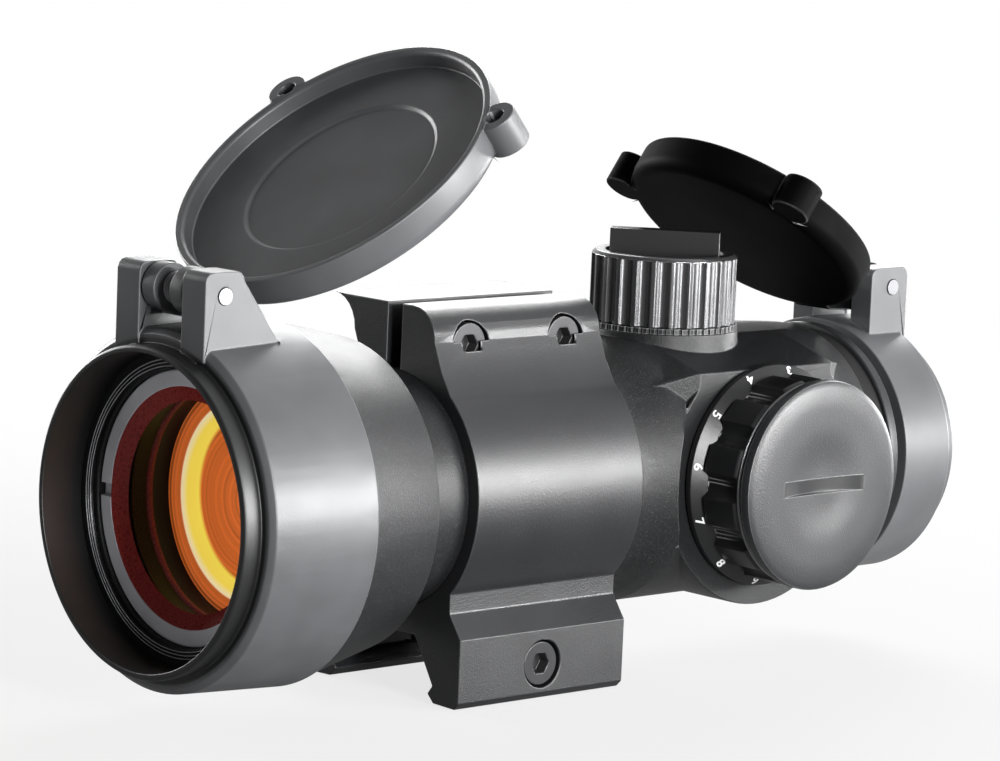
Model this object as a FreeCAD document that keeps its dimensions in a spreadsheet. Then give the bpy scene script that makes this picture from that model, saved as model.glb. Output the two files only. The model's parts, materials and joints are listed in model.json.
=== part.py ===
"""Tube red dot sight with flip-up covers, a ring clamp, two turrets and a brightness dial.

Millimetres, +Z up. The origin is the rail seat: the flat under the clamp, at the clamp's centre.
+X runs back along the tube to the eyepiece, -Y is the dial's side and +Y the windage side.
"""
import FreeCAD, Part
import math
import os
import re

import Sketcher

App = FreeCAD
Vector = App.Vector

# Driving dimensions, kept in the document's spreadsheet. Millimetres and degrees.
SIZES = {
    # tube and housing
    "front_reach": 50.0,
    "rear_reach": 71.0,
    "tube_radius": 15.0,
    "tube_wall": 1.8,
    "seat_rise": 2.7,
    "bell_flare": 5.8,
    "bell_lip": 1.6,
    "bell_length": 27.2,
    "bell_wall": 2.85,
    "bell_step": 2.4,
    "housing_room": 1.2,
    "housing_flare": 6.0,
    "housing_swell": 2.6,
    "housing_back_drop": 0.7,
    "rear_room": 1.2,
    "roof_rise": 2.0,
    "roof_half_width": 4.8,
    "roof_inset_front": 9.8,
    "roof_inset_back": 7.8,
    "side_swell": 0.2,
    "side_margin": 1.3,
    "side_foot": 6.0,
    "nose_sink": 0.5,
    "nose_taper": 0.6,
    "nose_side_taper": 0.62,
    "nose_shoulder_taper": 0.7,
    "tail_drop": 0.6,
    "tail_taper": 0.6,
    "tail_shoulder_taper": 0.9,
    "edge_break": 0.5,
    "fit": 0.05,
    "gap": 0.3,
    "overcut": 1.0,
    "bite": 0.1,
    "ease": 0.2,
    # optics
    "lens_seat": 4.0,
    "lens_thickness": 2.0,
    "lens_ring_width": 2.1,
    "lens_ring_thickness": 1.4,
    "lens_ring_depth": 1.0,
    "lens_ring_notch": 1.6,
    "lens_ring_notch_depth": 0.8,
    "lens_bevel": 0.7,
    "objective_depth": 13.0,
    "objective_thickness": 4.0,
    "objective_dish": 1.5,
    "objective_rim": 0.9,
    "window_seat": 1.6,
    "window_thickness": 2.0,
    "window_ring_width": 1.2,
    "window_ring_thickness": 1.6,
    "ring_bevel": 0.2,
    # collars and lids
    "front_collar_wall": 1.2,
    "front_collar_length": 15.0,
    "front_collar_flare": 0.66,
    "front_stop": 2.8,
    "front_mouth_step": 1.6,
    "front_lip_inset": 1.9,
    "front_lip_length": 3.3,
    "front_lug_inner": 4.1,
    "front_lug_outer": 8.5,
    "front_lug_rise": 7.6,
    "front_lug_top": 5.0,
    "front_lug_base": 10.3,
    "front_open_angle": 230.5,
    "rear_spigot_step": 0.6,
    "rear_collar_wall": 1.7,
    "rear_collar_length": 8.5,
    "rear_collar_flare": 0.0,
    "rear_stop": 1.5,
    "rear_mouth_step": 1.2,
    "rear_lip_inset": 1.8,
    "rear_lip_length": 3.0,
    "rear_lug_inner": 3.5,
    "rear_lug_outer": 7.2,
    "rear_lug_rise": 7.4,
    "rear_lug_top": 6.1,
    "rear_lug_base": 6.1,
    "rear_open_angle": 233.5,
    "collar_round": 0.7,
    "lip_bevel": 0.3,
    "lip_step": 0.7,
    "lug_front": 1.0,
    "lug_round": 1.2,
    "lug_root": 2.0,
    "pin_rise": 4.7,
    "pin_back": 2.0,
    "pin_radius": 1.0,
    "pin_proud": 0.15,
    "knuckle_radius": 2.9,
    "arm_inset": 0.8,
    "arm_root": 3.0,
    "arm_rise": 0.6,
    "arm_shoulder_out": 3.2,
    "arm_shoulder_up": 1.6,
    "arm_top_angle": 120.0,
    "arm_foot_angle": 252.0,
    "lid_wall": 1.5,
    "lid_rim": 1.3,
    "lid_depth": 4.7,
    "lid_round": 1.8,
    "lid_mouth_bevel": 0.4,
    "lid_recess": 0.4,
    "lid_recess_share": 0.65,
    "boss_radius": 2.6,
    "boss_hole_radius": 1.2,
    "boss_floor": 1.2,
    "boss_angle": 30.0,
    "boss_outset": 0.9,
    "coil_radius": 1.75,
    "coil_wire": 0.5,
    "coil_pitch": 0.52,
    "coil_turns": 3.5,
    "coil_leg": 2.6,
    # rings in front of the rear collar
    "gasket_wall": 0.6,
    "gasket_length": 2.9,
    "lock_ring_wall": 1.2,
    "lock_ring_length": 1.4,
    # clamp
    "clamp_length": 28.0,
    "ring_wall": 1.9,
    "slit_half_width": 1.35,
    "slit_depth": 3.0,
    "flange_half_width": 7.66,
    "flange_rise": 6.4,
    "flange_round": 4.2,
    "fillet_half_width": 11.4,
    "fillet_waist": 1.4,
    "fillet_drop": 4.3,
    "waist_rise": 1.0,
    "waist_height": 3.0,
    "waist_inset": 2.2,
    "groove_half_width": 9.6,
    "groove_drop": 5.8,
    "seat_inset": 3.6,
    "base_wall": 5.0,
    "base_skirt": 8.1,
    "base_bevel": 0.8,
    "claw_bite": 0.85,
    "claw_drop": 6.9,
    "claw_lead": 0.3,
    "jaw_inset": 0.7,
    "jaw_notch": 1.6,
    "jaw_notch_height": 1.4,
    "jaw_travel_room": 0.2,
    "screw_station": 8.0,
    "screw_rise": 1.6,
    "screw_radius": 1.5,
    "screw_head_wall": 1.25,
    "screw_socket_depth": 1.6,
    "screw_recess": 0.4,
    "screw_end_room": 1.5,
    "bolt_drop": 3.6,
    "nut_wall": 1.6,
    "nut_thickness": 2.4,
    # turrets
    "turret_inset": 17.3,
    "turret_rise": 2.9,
    "boss_margin": 0.4,
    "index_margin": 0.3,
    "index_thickness": 0.7,
    "index_notches": 60,
    "index_notch_radius": 0.25,
    "index_counterbore": 0.4,
    "cap_radius": 9.6,
    "cap_wall": 2.4,
    "cap_height": 9.1,
    "cap_room": 2.0,
    "cap_flutes": 24,
    "flute_radius": 1.05,
    "flute_depth": 0.62,
    "cap_chamfer": 0.5,
    "cap_rim_width": 1.8,
    "cap_dish": 0.6,
    "neck_height": 4.6,
    "neck_wall": 2.0,
    "blade_end_room": 0.6,
    "blade_width": 2.8,
    "blade_height": 2.8,
    "blade_angle": 47.4,
    "seal_wire": 0.42,
    "adjuster_radius": 3.0,
    "adjuster_head_height": 2.0,
    "adjuster_depth": 3.3,
    "adjuster_slot": 1.0,
    "plunger_radius": 1.6,
    "plunger_length": 4.0,
    # optical carrier inside the tube
    "carrier_room": 1.7,
    "carrier_wall": 1.0,
    "carrier_front": 12.0,
    "carrier_back": 46.0,
    "pivot_station": 14.0,
    "pivot_ring_length": 4.0,
    "emitter_station": 40.0,
    "emitter_radius": 1.5,
    "emitter_rise": 5.1,
    "bracket_width": 3.0,
    "spring_length": 10.0,
    "spring_width": 4.0,
    "spring_thickness": 0.5,
    # dial
    "dial_room": 2.4,
    "dial_radius": 14.5,
    "dial_edge": 0.8,
    "dial_slope_height": 2.1,
    "dial_floor": 2.7,
    "plateau_margin": 2.7,
    "grip_inset": 1.0,
    "grip_height": 7.9,
    "grip_notches": 12,
    "grip_notch_radius": 2.0,
    "grip_notch_depth": 1.1,
    "cell_inset": 4.5,
    "cell_thickness": 3.2,
    "contact_thickness": 0.6,
    "spindle_radius": 3.0,
    "spindle_length": 1.8,
    "coin_cap_gap": 1.0,
    "coin_cap_inset": 0.9,
    "coin_cap_thickness": 1.8,
    "coin_cap_bevel": 0.4,
    "coin_cap_dish": 0.3,
    "coin_cap_dish_inset": 5.2,
    "coin_cap_skirt": 2.1,
    "coin_cap_wall": 1.1,
    "coin_slot_length": 14.6,
    "coin_slot_width": 2.0,
    "coin_slot_depth": 1.2,
    "coin_seal_wire": 0.46,
    "board_margin": 1.3,
    "board_thickness": 0.95,
    "board_pocket": 1.2,
    "detent_inset": 1.9,
    "detent_radius": 0.8,
    "detent_depth": 3.0,
}

# Dimensions that follow from others, so that a changed size carries its neighbours with it.
TIES = {
    "axis_height": "tube_radius + seat_rise",
    "tube_bore": "tube_radius - tube_wall",
    "front_spigot_radius": "tube_radius + bell_flare",
    "rear_spigot_radius": "tube_radius + rear_spigot_step",
    "bell_radius": "front_spigot_radius + bell_lip",
    "bell_back": "front_reach - bell_length",
    "bell_back_radius": "lens_radius + bell_wall",
    "housing_start": "clamp_length / 2 + housing_room",
    "housing_end": "rear_reach - rear_collar_length - lock_ring_length - gasket_length - rear_room",
    "housing_radius": "tube_radius + housing_swell",
    "roof_height": "tube_radius + roof_rise",
    "roof_front": "housing_start + roof_inset_front",
    "roof_back": "housing_end - roof_inset_back",
    "side_width": "tube_radius + side_swell",
    "side_height": "detent_reach + side_margin",
    "lens_radius": "front_spigot_radius - lens_seat",
    "lens_clear_radius": "lens_radius - lens_ring_width",
    "window_radius": "rear_spigot_radius - window_seat",
    "window_clear_radius": "window_radius - window_ring_width",
    "front_edge_radius": "front_spigot_radius + front_collar_wall",
    "rear_edge_radius": "rear_spigot_radius + rear_collar_wall",
    "front_mouth_radius": "front_spigot_radius - front_mouth_step",
    "rear_mouth_radius": "rear_spigot_radius - rear_mouth_step",
    "front_lip_radius": "front_edge_radius - front_lip_inset",
    "rear_lip_radius": "rear_edge_radius - rear_lip_inset",
    "front_lid_radius": "front_lip_radius + lid_wall",
    "rear_lid_radius": "rear_lip_radius + lid_wall",
    "front_lug_height": "front_edge_radius + front_lug_rise",
    "rear_lug_height": "rear_edge_radius + rear_lug_rise",
    "front_pin_height": "front_edge_radius + pin_rise",
    "rear_pin_height": "rear_edge_radius + pin_rise",
    "gasket_radius": "rear_spigot_radius + gasket_wall",
    "lock_ring_radius": "rear_spigot_radius + lock_ring_wall",
    "ring_outer_radius": "tube_radius + ring_wall",
    "flange_height": "ring_outer_radius + flange_rise",
    "screw_height": "ring_outer_radius + screw_rise",
    "screw_head_radius": "screw_radius + screw_head_wall",
    "screw_head_height": "2 * screw_radius",
    "screw_socket_radius": "screw_radius - fit",
    "nut_radius": "screw_radius + nut_wall",
    "base_top": "ring_outer_radius + 2 * fit",
    "base_bottom": "axis_height + base_skirt",
    "base_half_width": "groove_half_width + base_wall",
    "waist_half_width": "base_half_width - waist_inset",
    "waist_foot": "tube_radius - waist_rise",
    "seat_half_width": "groove_half_width - seat_inset",
    "groove_depth": "axis_height + groove_drop",
    "claw_half_width": "groove_half_width - claw_bite",
    "claw_height": "axis_height + claw_drop",
    "jaw_inner": "groove_half_width + jaw_inset",
    "bolt_height": "axis_height + bolt_drop",
    "turret_station": "housing_start + turret_inset",
    "turret_seat": "tube_radius + turret_rise",
    "turret_boss_radius": "cap_radius + boss_margin",
    "index_radius": "cap_radius + index_margin",
    "neck_radius": "cap_radius - cap_wall",
    "neck_bore": "neck_radius - neck_wall",
    "cap_rim": "cap_radius - cap_rim_width",
    "blade_length": "2 * (cap_rim - blade_end_room)",
    "adjuster_head_radius": "neck_bore - 2 * gap",
    "adjuster_foot": "turret_seat - adjuster_depth",
    "carrier_radius": "tube_bore - carrier_room",
    "pivot_ring_radius": "tube_bore - 4 * fit",
    "plateau_radius": "dial_radius + plateau_margin",
    "dial_station": "housing_end - plateau_radius - dial_room",
    "grip_radius": "dial_radius - grip_inset",
    "dial_slope_radius": "grip_radius - grip_inset",
    "cell_radius": "dial_radius - cell_inset",
    "coin_cap_radius": "dial_radius - coin_cap_inset",
    "coin_cap_dish_radius": "coin_cap_radius - coin_cap_dish_inset",
    "coin_slot_curve": "(coin_slot_length ^ 2 / 4 + coin_slot_depth ^ 2) / (2 * coin_slot_depth)",
    "board_radius": "cell_radius + board_margin",
    "detent_reach": "dial_radius - detent_inset",
}

doc = App.newDocument("red_dot_sight")
sheet = doc.addObject("Spreadsheet::Sheet", "sizes")
for row, (alias, number) in enumerate(SIZES.items(), start=1):
    sheet.set(f"A{row}", alias)
    sheet.set(f"B{row}", str(number))
    sheet.setAlias(f"B{row}", alias)
doc.recompute()

WORD = re.compile(r"[a-z][a-z_]+")
SUB_PARTS = []
AXIS_TURNS = {
    "X": App.Rotation(Vector(0, 1, 0), 90),
    "Y": App.Rotation(Vector(1, 0, 0), -90),
    "-Y": App.Rotation(Vector(1, 0, 0), 90),
    "Z": App.Rotation(),
}


def size(alias):
    """A driving dimension as the sheet holds it."""
    return float(getattr(sheet, alias))


def linked(text):
    """An expression with each alias pointed at the sheet, and each tied dimension spelled out."""
    def spelled(word):
        name = word.group()
        if name in TIES:
            return f"({linked(TIES[name])})"
        return f"sizes.{name}" if name in SIZES else name
    return WORD.sub(spelled, str(text))


def bind(thing, **expressions):
    """Bind properties of an object to the sheet; two underscores stand for a dot."""
    for prop, text in expressions.items():
        thing.setExpression(prop.replace("__", "."), linked(text))


def place(thing, x="0", y="0", z="0", turn=None):
    """Bind an object's position, after turning it."""
    thing.Placement = App.Placement(Vector(), turn or App.Rotation())
    bind(thing, Placement__Base__x=x, Placement__Base__y=y, Placement__Base__z=z)


def new_body(label, x="0", y="0", z="axis_height", turn=None):
    """A sub-part as a PartDesign body; its label is its node name."""
    body = doc.addObject("PartDesign::Body", label)
    body.Label = label
    place(body, x, y, z, turn)
    SUB_PARTS.append(body)
    return body


def plane_of(body, role):
    """One of the body's own base planes or axes."""
    return next(item for item in body.Origin.OriginFeatures if item.Role == role)


def outline(body, points, plane="XZ_Plane", shift=("0", "0", "0")):
    """A closed outline whose corners are each pinned to the sheet."""
    sketch = body.newObject("Sketcher::SketchObject", f"{body.Name}_outline")
    sketch.AttachmentSupport = [(plane_of(body, plane), "")]
    sketch.MapMode = "FlatFace"
    for side, text in zip("xyz", shift):
        sketch.setExpression(f"AttachmentOffset.Base.{side}", linked(text))
    count = len(points)
    turns = [2 * math.pi * i / count for i in range(count)]
    rough = [Vector(math.cos(turn), math.sin(turn), 0) for turn in turns]
    for i in range(count):
        sketch.addGeometry(Part.LineSegment(rough[i], rough[(i + 1) % count]), False)
    for i in range(count):
        sketch.addConstraint(Sketcher.Constraint("Coincident", i, 2, (i + 1) % count, 1))
    for i, corner in enumerate(points):
        for kind, axis, text in zip(("DistanceX", "DistanceY"), (-2, -1), corner):
            if str(text) == "0":
                sketch.addConstraint(Sketcher.Constraint("PointOnObject", i, 1, axis))
                continue
            index = sketch.addConstraint(Sketcher.Constraint(kind, -1, 1, i, 1, 1.0))
            sketch.setExpression(f"Constraints[{index}]", linked(text))
    return sketch


def turned(body, sketch, axis, cut):
    """Turn an outline all the way about one of the sketch's own axes."""
    kind = "PartDesign::Groove" if cut else "PartDesign::Revolution"
    feature = body.newObject(kind, f"{body.Name}_turned")
    feature.Profile = sketch
    feature.ReferenceAxis = (sketch, [axis])
    feature.Angle = 360.0
    return feature


def revolved(body, points, cut=False, shift=("0", "0", "0")):
    """Turn an outline of (x, radius) corners about the sketch's own X axis."""
    return turned(body, outline(body, points, "XZ_Plane", shift), "H_Axis", cut)


def revolved_up(body, points, cut=False):
    """Turn an outline of (height, radius) corners about the body's Z axis."""
    return turned(body, outline(body, [(radius, height) for height, radius in points]), "V_Axis", cut)


def extruded(body, points, length, plane="YZ_Plane", cut=False, shift=("0", "0", "0")):
    """Extend an outline to both sides of its plane."""
    sketch = outline(body, points, plane, shift)
    feature = body.newObject("PartDesign::Pocket" if cut else "PartDesign::Pad", f"{body.Name}_run")
    feature.Profile = sketch
    feature.Midplane = True
    bind(feature, Length=length)
    return feature


def rod(body, radius, length, x="0", y="0", z="0", axis="Z", cut=False):
    """A cylinder that starts at a point and runs along an axis."""
    kind = "PartDesign::SubtractiveCylinder" if cut else "PartDesign::AdditiveCylinder"
    feature = body.newObject(kind, f"{body.Name}_rod")
    bind(feature, Radius=radius, Height=length)
    place(feature, x, y, z, AXIS_TURNS[axis])
    return feature


def block(body, dims, corner, cut=False, turn=None):
    """A box from its low corner."""
    kind = "PartDesign::SubtractiveBox" if cut else "PartDesign::AdditiveBox"
    feature = body.newObject(kind, f"{body.Name}_block")
    bind(feature, Length=dims[0], Width=dims[1], Height=dims[2])
    place(feature, *corner, turn)
    return feature


def torus(body, ring_radius, wire_radius, z):
    """A round-section seal about the body's Z axis."""
    feature = body.newObject("PartDesign::AdditiveTorus", f"{body.Name}_torus")
    bind(feature, Radius1=ring_radius, Radius2=wire_radius)
    place(feature, z=z)
    return feature


def spun(body, feature, count):
    """Repeat a feature round the body's Z axis."""
    pattern = body.newObject("PartDesign::PolarPattern", f"{body.Name}_spun")
    pattern.Originals = [feature]
    pattern.Axis = (plane_of(body, "Z_Axis"), [""])
    pattern.Angle = 360.0
    bind(pattern, Occurrences=count)
    body.Tip = pattern
    return pattern


def loft(body, near_points, near_x, far_points, far_x):
    """A skin between two outlines across the tube."""
    near = outline(body, near_points, "YZ_Plane", ("0", "0", near_x))
    far = outline(body, far_points, "YZ_Plane", ("0", "0", far_x))
    feature = body.newObject("PartDesign::AdditiveLoft", f"{body.Name}_loft")
    feature.Profile = near
    feature.Sections = [far]
    feature.Ruled = True
    return feature


def rounded(x, y, across, up, radius, steps=2):
    """Corners that round off the corner at (x, y), from its upright side to its level one.

    across and up say which way the material lies from the corner: 1 or -1 along each axis.
    """
    corners = []
    for i in range(steps + 1):
        angle = math.pi / 2 * i / steps
        corners.append((f"{x} + {across} * ({radius}) * {1 - math.cos(angle):.4f}",
                        f"{y} + {up} * ({radius}) * {1 - math.sin(angle):.4f}"))
    return corners


def both_sides(points):
    """An outline that is the same on both sides of the upright plane, from its -Y half."""
    return points + [(x[1:], y) for x, y in reversed(points)]


def roof(half_top, top, half_side, shoulder, foot):
    """The housing's cross-section above the dial: flat top, two slopes, upright sides."""
    return both_sides([
        (f"-({half_side})", f"-({foot})"),
        (f"-({half_side})", shoulder),
        (f"-({half_top})", top),
    ])


def main_housing():
    """The tube with its bell, dial plateau, turret bosses and all its bores."""
    body = new_body("main_housing")
    start = "front_stop - front_reach"
    shoulder = "front_collar_length + 2 * fit - front_reach"
    end = "rear_reach - rear_stop"
    revolved(body, [
        (start, "0"),
        (start, "front_spigot_radius - edge_break"),
        (f"{start} + edge_break", "front_spigot_radius"),
        (shoulder, "front_spigot_radius"),
        (shoulder, "bell_radius"),
        ("-bell_back", "bell_back_radius"),
        ("bell_step - bell_back", "tube_radius"),
        ("housing_start", "tube_radius"),
        ("housing_start + housing_flare", "housing_radius"),
        ("housing_end - housing_flare", "housing_radius"),
        ("housing_end", "housing_radius - housing_back_drop"),
        ("housing_end", "rear_spigot_radius"),
        (end, "rear_spigot_radius"),
        (end, "0"),
    ])
    full = roof("roof_half_width", "roof_height", "side_width", "side_height", "side_foot")
    front = roof("roof_half_width * nose_taper", "tube_radius - nose_sink", "tube_radius * nose_side_taper",
                 "tube_radius * nose_shoulder_taper", "side_foot * nose_taper")
    back = roof("roof_half_width * nose_shoulder_taper", "roof_height - tail_drop",
                "side_width * tail_taper", "side_height * tail_shoulder_taper", "side_foot * tail_taper")
    loft(body, front, "housing_start + edge_break", full, "roof_front")
    extruded(body, full, "roof_back - roof_front", shift=("0", "0", "(roof_back + roof_front) / 2"))
    loft(body, full, "roof_back", back, "housing_end")
    rod(body, "plateau_radius", "side_width", x="dial_station", axis="-Y")
    block(body, ("housing_end - housing_start", "2 * (roof_half_width + overcut)", "plateau_radius"),
          ("housing_start", "-roof_half_width - overcut", "roof_height"), cut=True)
    extruded(body, [
        ("-side_width - overcut",
         "side_height - overcut * (roof_height - side_height) / (side_width - roof_half_width)"),
        ("-roof_half_width", "roof_height"),
        ("-roof_half_width", "roof_height + plateau_radius"),
        ("-side_width - overcut", "roof_height + plateau_radius"),
    ], "2 * plateau_radius", cut=True, shift=("0", "0", "dial_station"))
    rod(body, "plateau_radius", "housing_radius", x="dial_station", y="-side_width", axis="-Y", cut=True)
    for axis in ("Z", "Y"):
        rod(body, "turret_boss_radius", "turret_seat", x="turret_station", axis=axis)
    lens_back = f"{start} + lens_ring_depth + lens_ring_thickness + lens_thickness + 3 * fit"
    window_front = f"{end} - window_thickness - window_ring_thickness - 2 * fit"
    revolved(body, [
        (f"{start} - overcut", "0"),
        (f"{start} - overcut", "front_mouth_radius - lens_bevel"),
        (start, "front_mouth_radius - lens_bevel"),
        (f"{start} + lens_bevel", "lens_radius + fit"),
        (lens_back, "lens_radius + fit"),
        (lens_back, "lens_clear_radius"),
        ("-bell_back", "lens_clear_radius"),
        ("bell_step - bell_back", "tube_bore"),
        (window_front, "tube_bore"),
        (window_front, "window_radius + fit"),
        (f"{end} + overcut", "window_radius + fit"),
        (f"{end} + overcut", "0"),
    ], cut=True)
    for axis in ("Z", "Y"):
        rod(body, "neck_bore", "turret_seat + overcut", x="turret_station", axis=axis, cut=True)
    rod(body, "board_radius + gap / 2", "board_pocket + overcut", x="dial_station",
        y="board_pocket - side_width", axis="-Y", cut=True)
    rod(body, "spindle_radius + fit", "side_width", x="dial_station", axis="-Y", cut=True)
    rod(body, "detent_radius + fit", "detent_depth + overcut", x="dial_station",
        y="detent_depth - side_width", z="detent_reach", axis="-Y", cut=True)


def ring_shape(label, x, inner, outer, length):
    """A plain ring round the optical axis, its front outer edge broken."""
    body = new_body(label, x=x)
    revolved(body, [("0", inner), ("0", f"{outer} - ring_bevel"), ("ring_bevel", outer), (length, outer),
                    (length, inner)])
    return body


def disc(label, x, radius, thickness):
    """A round plate across the optical axis."""
    body = new_body(label, x=x)
    rod(body, radius, thickness, axis="X")


def optics():
    """The glasses and the rings that hold them."""
    ring_front = "front_stop - front_reach + lens_ring_depth"
    ring = ring_shape("objective_ring", ring_front, "lens_clear_radius", "lens_radius",
                      "lens_ring_thickness")
    block(ring, ("lens_ring_notch_depth", "2 * (lens_radius + overcut)", "lens_ring_notch"),
          ("0", "-lens_radius - overcut", "-lens_ring_notch / 2"), cut=True)
    disc("objective_window", f"{ring_front} + lens_ring_thickness + fit", "lens_radius", "lens_thickness")
    mirror = new_body("objective_lens", x="objective_depth - front_reach")
    revolved(mirror, [
        ("objective_dish", "0"),
        ("0", "lens_clear_radius - objective_rim"),
        ("0", "lens_clear_radius - fit"),
        ("objective_thickness", "lens_clear_radius - fit"),
        ("objective_thickness", "0"),
    ])
    window_front = "rear_reach - rear_stop - window_thickness - window_ring_thickness - fit"
    disc("ocular_window", window_front, "window_radius", "window_thickness")
    ring_shape("ocular_ring", f"{window_front} + window_thickness + fit", "window_clear_radius",
               "window_radius", "window_ring_thickness - fit")
    ring_shape("rear_gasket", "housing_end + fit", "rear_spigot_radius", "gasket_radius", "gasket_length")
    ring_shape("lock_ring", "housing_end + gasket_length + 2 * fit", "rear_spigot_radius",
               "lock_ring_radius", "lock_ring_length")


def collar(end, edge_x, turn):
    """A cover's collar, with the two lugs that hold its hinge pin."""
    e = f"{end}_"
    body = new_body(f"{end}_collar", x=edge_x, turn=turn)
    revolved(body, [
        (f"-{e}lip_length", "0"),
        (f"-{e}lip_length", f"{e}lip_radius - lip_bevel"),
        (f"lip_bevel - {e}lip_length", f"{e}lip_radius"),
        ("-lip_step", f"{e}lip_radius"),
        ("-lip_step", f"{e}edge_radius - collar_round"),
        ("0", f"{e}edge_radius"),
        (f"{e}collar_length", f"{e}edge_radius + {e}collar_flare"),
        (f"{e}collar_length", "0"),
    ])
    foot = f"{e}edge_radius - {e}collar_wall - lug_root"
    for side in (-1, 1):
        middle = f"{side} * ({e}lug_inner + {e}lug_outer) / 2"
        front_corner = rounded("-lug_front", f"{e}lug_height", 1, -1, "lug_round", 3)
        back_corner = rounded(f"{e}lug_top", f"{e}lug_height", -1, -1, "lug_round", 3)
        extruded(body, [("-lug_front", foot)] + front_corner + back_corner[::-1] + [
            (f"{e}lug_base", f"{e}edge_radius - pin_radius"),
            (f"{e}lug_base", foot),
        ], f"{e}lug_outer - {e}lug_inner", plane="XZ_Plane", shift=("0", "0", middle))
    revolved(body, [
        (f"-{e}lip_length - overcut", "0"),
        (f"-{e}lip_length - overcut", f"{e}mouth_radius"),
        (f"{e}stop", f"{e}mouth_radius"),
        (f"{e}stop", f"{e}spigot_radius"),
        (f"{e}collar_length + {e}lug_base", f"{e}spigot_radius"),
        (f"{e}collar_length + {e}lug_base", "0"),
    ], cut=True)
    rod(body, "pin_radius + fit / 2", f"2 * ({e}lug_outer + overcut)", x="pin_back",
        y=f"-{e}lug_outer - overcut", z=f"{e}pin_height", axis="Y", cut=True)


def lid(end, pin_x, facing, turn):
    """A cover's lid, drawn about its hinge pin and swung open."""
    e = f"{end}_"
    body = new_body(f"{end}_lid", x=pin_x, z=f"axis_height + {e}pin_height")
    swing = App.Rotation(Vector(0, 1, 0), facing * size(f"{e}open_angle"))
    body.Placement = App.Placement(body.Placement.Base, swing.multiply(turn))
    drop = ("-pin_back", f"-{e}pin_height", "0")
    back = "-lid_rim - lid_depth"
    floor = f"-{e}lip_length - gap"
    inside = f"{e}lip_radius + gap"
    half_knuckle = f"({e}lug_inner - gap)"
    crown = rounded(back, f"{e}lid_radius", 1, -1, "lid_round", 4)
    revolved(body, [(back, "0")] + crown + [("-lid_rim", f"{e}lid_radius"), ("-lid_rim", "0")], shift=drop)
    rod(body, "knuckle_radius", f"2 * {half_knuckle}", y=f"-{half_knuckle}", axis="Y")
    arm_x = f"{back} - pin_back + arm_inset"
    rim_z = f"{e}lid_radius - {e}pin_height"
    lip_z = f"{inside} + lip_bevel - {e}pin_height"
    extruded(body, [
        (arm_x, f"{rim_z} - arm_root"),
        (arm_x, f"{rim_z} + arm_rise"),
        ("-arm_shoulder_out", "arm_shoulder_up"),
        ("knuckle_radius * cos(arm_top_angle)", "knuckle_radius * sin(arm_top_angle)"),
        ("0", "0"),
        ("knuckle_radius * cos(arm_foot_angle)", "knuckle_radius * sin(arm_foot_angle)"),
        ("-lid_rim - pin_back", f"{rim_z} + ease"),
        ("-lid_rim - pin_back - ease", lip_z),
        (f"{floor} - pin_back - ease", lip_z),
    ], f"2 * {half_knuckle}", plane="XZ_Plane")
    reach = f"({e}lid_radius + boss_outset)"
    for side in (-1, 1):
        across = f"{side} * {reach} * cos(boss_angle)"
        down = f"-{reach} * sin(boss_angle) - {e}pin_height"
        rod(body, "boss_radius", "lid_depth - 2 * bite", x=f"{back} - pin_back + bite", y=across,
            z=down, axis="X")
        rod(body, "boss_hole_radius", "lid_depth - boss_floor", x=f"{back} - pin_back + boss_floor",
            y=across, z=down, axis="X", cut=True)
    revolved(body, [
        ("overcut", "0"),
        ("overcut", f"{inside} + lid_mouth_bevel"),
        ("-lid_rim", f"{inside} + lid_mouth_bevel"),
        ("-lid_rim - lid_mouth_bevel", inside),
        (floor, inside),
        (floor, f"({inside}) * lid_recess_share"),
        (f"{floor} - lid_recess", f"({inside}) * lid_recess_share - lid_recess"),
        (f"{floor} - lid_recess", "0"),
    ], cut=True, shift=drop)
    rod(body, "pin_radius + fit", f"2 * ({half_knuckle} + overcut)", y=f"-{half_knuckle} - overcut",
        axis="Y", cut=True)
    slot = "(coil_pitch * (coil_turns + 1) + 2 * gap)"
    rod(body, "knuckle_radius + 2 * gap", slot, y=f"-{slot} / 2", axis="Y", cut=True)


def coil_spring(end, pin_x):
    """A torsion spring round a hinge pin, with one straight leg that lies over the collar."""
    radius = size("coil_radius")
    helix = Part.makeHelix(size("coil_pitch"), size("coil_pitch") * size("coil_turns"), radius)
    start = Vector(radius, 0, 0)
    leg = Part.makeLine(start - Vector(0, size("coil_leg"), 0), start)
    path = Part.Wire([leg] + helix.Edges)
    section = Part.Wire(Part.makeCircle(size("coil_wire") / 2, leg.Vertexes[0].Point, Vector(0, 1, 0)))
    feature = doc.addObject("Part::Feature", f"{end}_lid_spring")
    feature.Label = f"{end}_lid_spring"
    feature.Shape = path.makePipeShell([section], True, True)
    place(feature, pin_x, "coil_pitch * coil_turns / 2", f"axis_height + {end}_pin_height",
          AXIS_TURNS["-Y"])
    SUB_PARTS.append(feature)


def cover(end, edge_x, facing):
    """One flip-up cover: collar, hinge pin, lid and spring. Local +X points into the sight."""
    turn = App.Rotation(Vector(0, 0, 1), 0 if facing > 0 else 180)
    pin_x = f"{edge_x} {'+' if facing > 0 else '-'} pin_back"
    collar(end, edge_x, turn)
    pin = new_body(f"{end}_hinge_pin", x=pin_x, z=f"axis_height + {end}_pin_height", turn=turn)
    rod(pin, "pin_radius", f"2 * ({end}_lug_outer + pin_proud)", y=f"-{end}_lug_outer - pin_proud",
        axis="Y")
    lid(end, pin_x, facing, turn)
    coil_spring(end, pin_x)


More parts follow.
